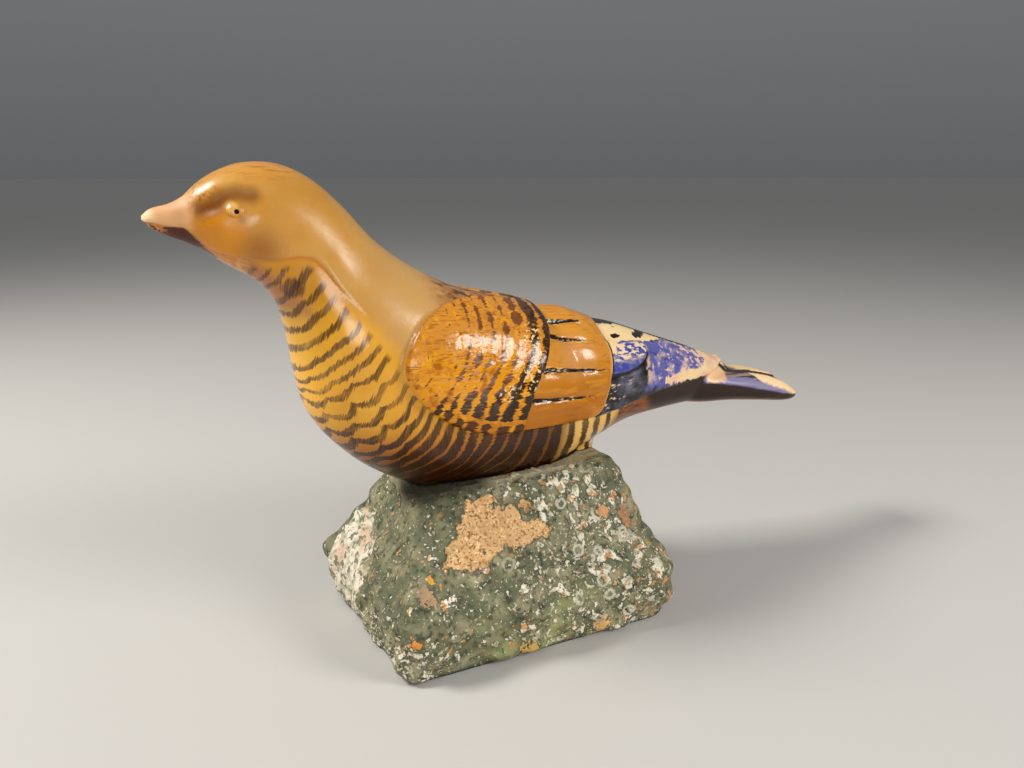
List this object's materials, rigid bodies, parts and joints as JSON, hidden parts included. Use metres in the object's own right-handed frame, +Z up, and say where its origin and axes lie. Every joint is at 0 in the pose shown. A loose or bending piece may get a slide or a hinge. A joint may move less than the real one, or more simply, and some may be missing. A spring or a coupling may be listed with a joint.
{
  "type": "soapstone quail figurine",
  "caption": "Painted stone quail with folded wings and a short tail, resting its belly and leg block in the hollowed top of a rough stone base.",
  "frame": {"origin": "middle of the base's flat underside, on the surface that it stands on", "axes": "+X runs along the bird from beak to tail, +Z is up, and the bird's left side faces -Y"},
  "size_m": [0.1994, 0.0704, 0.1281],
  "materials": {
    "bird_stone": "polished soapstone, stained and painted in ochre, brown and blue-black under a worn varnish",
    "base_stone": "rough stone with flaking dark green paint, bare sandy patches and pale specks"
  },
  "bodies": {
    "root": {"bird": "bird_stone", "rock_base": "base_stone"}
  },
  "joints": []
}
